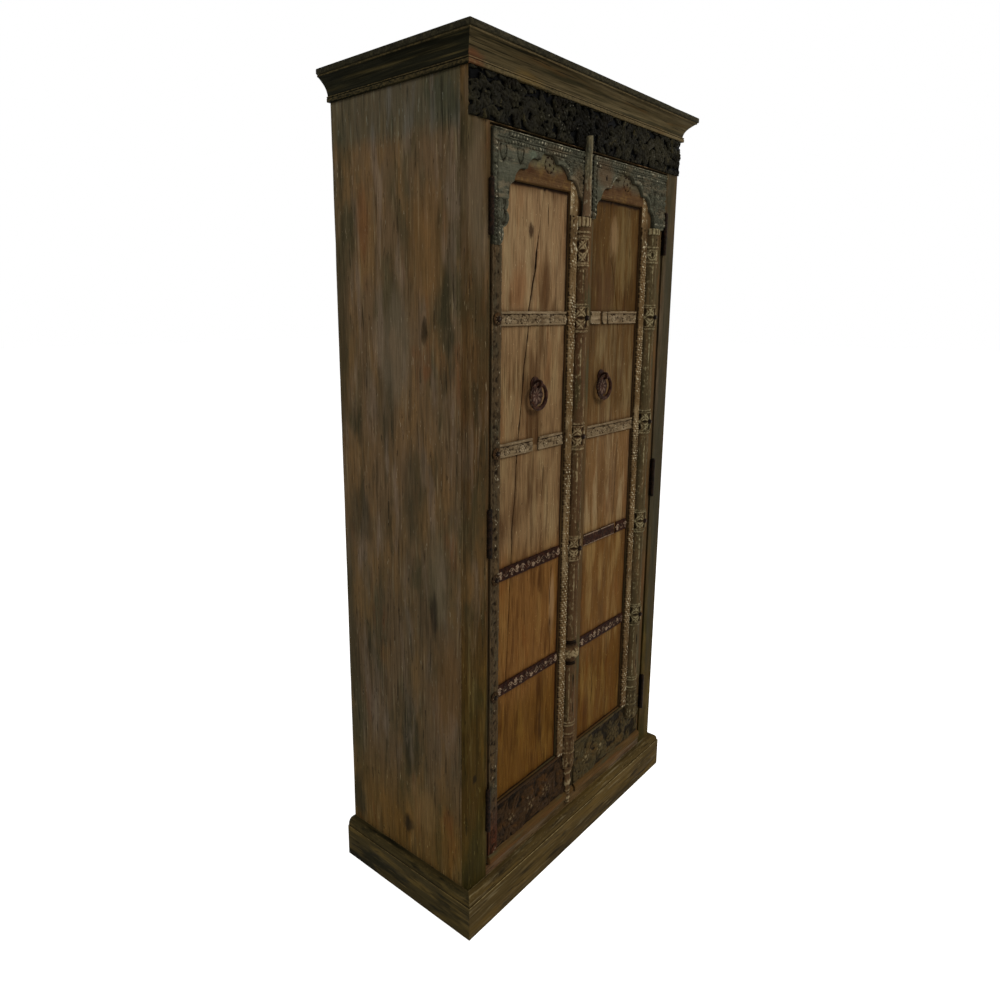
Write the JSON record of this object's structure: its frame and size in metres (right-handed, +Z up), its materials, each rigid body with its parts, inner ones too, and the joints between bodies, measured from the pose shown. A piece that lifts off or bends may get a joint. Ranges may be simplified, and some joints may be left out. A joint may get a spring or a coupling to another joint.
{
  "type": "two-door cupboard",
  "caption": "Tall free-standing wooden cupboard with carved, arched double doors, half columns, iron straps and ring pulls, cornice and plinth.",
  "frame": {"origin": "on the floor, below the middle of the cornice's outline", "axes": "+Z up along the height, the doors face -Y, +X to the viewer's right when facing the doors"},
  "size_m": [0.91, 0.43, 1.88],
  "materials": {
    "side_wood": "aged, waxed over old paint",
    "frame_wood": "aged, waxed over old paint",
    "cornice_wood": "dark waxed",
    "plinth_wood": "dark waxed",
    "black_carving": "near black old paint",
    "plank_wood": "waxed bare wood",
    "pale_carving": "worn bare wood",
    "green_carving": "worn grey green paint",
    "inner_wood": "plain sawn and waxed",
    "old_iron": "dark forged",
    "ring_iron": "dark forged, brown rust"
  },
  "bodies": {
    "cabinet": {"back_boards": "inner_wood", "bottom_board": "inner_wood", "ceiling_board": "inner_wood", "cornice_front": "cornice_wood", "cornice_left": "cornice_wood", "cornice_lid": "cornice_wood", "cornice_right": "cornice_wood", "door_stop": "inner_wood", "frame_hinge_plates": "old_iron", "frame_hinge_screws": "old_iron", "frieze_panel": "black_carving", "front_sill": "frame_wood", "front_stile_left": "frame_wood", "front_stile_right": "frame_wood", "front_top_rail": "frame_wood", "hinge_pins": "old_iron", "plinth_back": "inner_wood", "plinth_front": "plinth_wood", "plinth_glue_blocks": "inner_wood", "plinth_left": "plinth_wood", "plinth_right": "plinth_wood", "shelf_cleats": "inner_wood", "shelves": "inner_wood", "side_left": "side_wood", "side_right": "side_wood"},
    "left_leaf": {"left_arch": "green_carving", "left_bead_strip": "green_carving", "left_column": "green_carving", "left_hinge_stile": "green_carving", "left_iron_straps": "old_iron", "left_kick_carving": "green_carving", "left_leaf_hinge_plates": "old_iron", "left_leaf_hinge_screws": "old_iron", "left_ledges": "inner_wood", "left_meeting_stile": "green_carving", "left_planks": "plank_wood", "left_rails": "green_carving", "left_ring_eye": "ring_iron", "left_rope_strip": "green_carving", "left_rosettes": "green_carving", "left_studs": "old_iron", "left_wood_straps": "pale_carving"},
    "right_leaf": {"right_arch": "green_carving", "right_column": "green_carving", "right_hinge_stile": "green_carving", "right_iron_straps": "old_iron", "right_kick_carving": "green_carving", "right_leaf_hinge_plates": "old_iron", "right_leaf_hinge_screws": "old_iron", "right_ledges": "inner_wood", "right_meeting_stile": "green_carving", "right_planks": "plank_wood", "right_rails": "green_carving", "right_ring_eye": "ring_iron", "right_rope_strip": "green_carving", "right_studs": "old_iron", "right_wood_straps": "pale_carving"},
    "left_ring": {"left_ring": "ring_iron"},
    "right_ring": {"right_ring": "ring_iron"}
  },
  "joints": [
    {"name": "left_leaf_swing", "type": "hinge", "parent": "cabinet", "child": "left_leaf", "pos_m": [-0.3565, -0.184, 0.929], "axis": [0, 0, -1], "range_deg": [0, 110]},
    {"name": "right_leaf_swing", "type": "hinge", "parent": "cabinet", "child": "right_leaf", "pos_m": [0.3565, -0.184, 0.929], "axis": [0, 0, 1], "range_deg": [0, 110]},
    {"name": "left_ring_swing", "type": "hinge", "parent": "left_leaf", "child": "left_ring", "pos_m": [-0.19101, -0.183, 1.23053], "axis": [-1, 0, 0], "range_deg": [-5, 160]},
    {"name": "right_ring_swing", "type": "hinge", "parent": "right_leaf", "child": "right_ring", "pos_m": [0.08199, -0.183, 1.23053], "axis": [-1, 0, 0], "range_deg": [-5, 160]}
  ]
}
